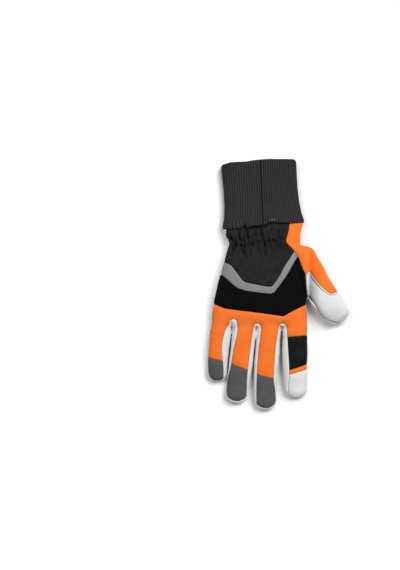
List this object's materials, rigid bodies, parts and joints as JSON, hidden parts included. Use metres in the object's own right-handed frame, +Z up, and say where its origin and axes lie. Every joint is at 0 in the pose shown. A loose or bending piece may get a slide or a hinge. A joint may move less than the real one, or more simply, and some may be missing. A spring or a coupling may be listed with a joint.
{
  "type": "chainsaw glove",
  "caption": "Right-hand work glove lying palm down: ribbed knit cuff, cloth back with a reflective band, white leather palm, thumb and finger walls, hollow inside.",
  "frame": {"origin": "middle of the glove's footprint on the surface it lies on", "axes": "+Z up from the surface, fingers towards -Y, cuff mouth towards +Y, thumb towards +X"},
  "size_m": [0.1662, 0.2994, 0.0271],
  "materials": {
    "rib_knit": "matte, ribbed",
    "charcoal_cloth": "matte",
    "reflective_cloth": "satin, reflective",
    "black_cloth": "matte",
    "orange_cloth": "matte, fluorescent",
    "grey_cloth": "matte",
    "white_leather": "satin",
    "black_rubber": "satin",
    "grey_rubber": "satin"
  },
  "bodies": {
    "root": {"knit_cuff": "rib_knit", "wrist_panel": "charcoal_cloth", "reflective_band": "reflective_cloth", "knuckle_panel": "black_cloth", "finger_back_panel": "orange_cloth", "pinky_tip": "grey_cloth", "ring_tip": "grey_cloth", "middle_tip": "grey_cloth", "index_patch": "black_rubber", "index_strip": "orange_cloth", "index_tip": "white_leather", "thumb_panel": "orange_cloth", "thumb_leather": "white_leather", "fourchette_pinky_ring": "white_leather", "fourchette_ring_middle": "white_leather", "fourchette_middle_index": "white_leather", "palm": "white_leather", "thumb_palm_leather": "white_leather", "palm_pad_knuckle": "white_leather", "palm_pad_thumb": "white_leather", "palm_pad_heel": "white_leather", "label_frame": "grey_rubber", "label_plate": "black_rubber"}
  },
  "joints": []
}
